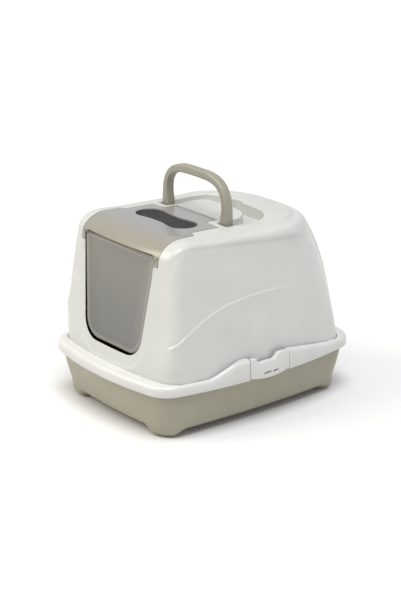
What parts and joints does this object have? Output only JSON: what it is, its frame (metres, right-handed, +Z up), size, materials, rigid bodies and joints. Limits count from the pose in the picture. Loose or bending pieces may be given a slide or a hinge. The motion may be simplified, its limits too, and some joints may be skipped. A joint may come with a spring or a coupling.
{
  "type": "hooded cat litter box",
  "caption": "Hooded litter tray with a lift-off cover, swinging entry flap, hinged filter lid, folding carry handle and side clips.",
  "frame": {"origin": "on the ground under the middle of the box, at the bottom centre of its bounding box", "axes": "+Z up, +X across the width to the viewer's right when facing the door, the door faces -Y"},
  "size_m": [0.4024, 0.5018, 0.4485],
  "materials": {
    "tray_taupe": "satin moulded",
    "hood_white": "semi-gloss moulded",
    "cover_grey": "gloss, slightly translucent",
    "door_smoke": "gloss, smoked and translucent",
    "handle_taupe": "satin moulded",
    "clip_white": "semi-gloss moulded",
    "filter_charcoal": "charcoal fibre pad",
    "cradle_grey": "satin moulded",
    "pin_plastic": "smooth"
  },
  "bodies": {
    "tray": {"tray": "tray_taupe"},
    "hood": {"hood_shell": "hood_white", "handle_pivot_left": "pin_plastic", "handle_pivot_right": "pin_plastic", "cover_hinge_rod": "pin_plastic", "clip_pivot_left_front": "pin_plastic", "clip_pivot_left_rear": "pin_plastic", "clip_pivot_right_front": "pin_plastic", "clip_pivot_right_rear": "pin_plastic"},
    "cover": {"flip_cover": "cover_grey", "filter_pad": "filter_charcoal", "filter_cradle": "cradle_grey"},
    "door": {"door_flap": "door_smoke", "door_pivot_left": "pin_plastic", "door_pivot_right": "pin_plastic"},
    "handle": {"carry_handle": "handle_taupe"},
    "clip_left": {"side_clip_left": "clip_white"},
    "clip_right": {"side_clip_right": "clip_white"}
  },
  "joints": [
    {"name": "hood_lift", "type": "slide", "parent": "tray", "child": "hood", "axis": [0, 0, 1], "range_m": [0, 0.15]},
    {"name": "cover_hinge", "type": "hinge", "parent": "hood", "child": "cover", "pos_m": [0, -0.017, 0.3562], "axis": [-1, 0, 0], "range_deg": [0, 60]},
    {"name": "door_hinge", "type": "hinge", "parent": "cover", "child": "door", "pos_m": [0, -0.1918, 0.333], "axis": [1, 0, 0], "range_deg": [-70, 70]},
    {"name": "handle_fold", "type": "hinge", "parent": "hood", "child": "handle", "pos_m": [0, -0.014, 0.352], "axis": [-1, 0, 0], "range_deg": [0, 90]},
    {"name": "clip_left_swing", "type": "hinge", "parent": "hood", "child": "clip_left", "pos_m": [-0.1942, 0, 0.129], "axis": [0, 1, 0], "range_deg": [0, 60]},
    {"name": "clip_right_swing", "type": "hinge", "parent": "hood", "child": "clip_right", "pos_m": [0.1942, 0, 0.129], "axis": [0, -1, 0], "range_deg": [0, 60]}
  ]
}
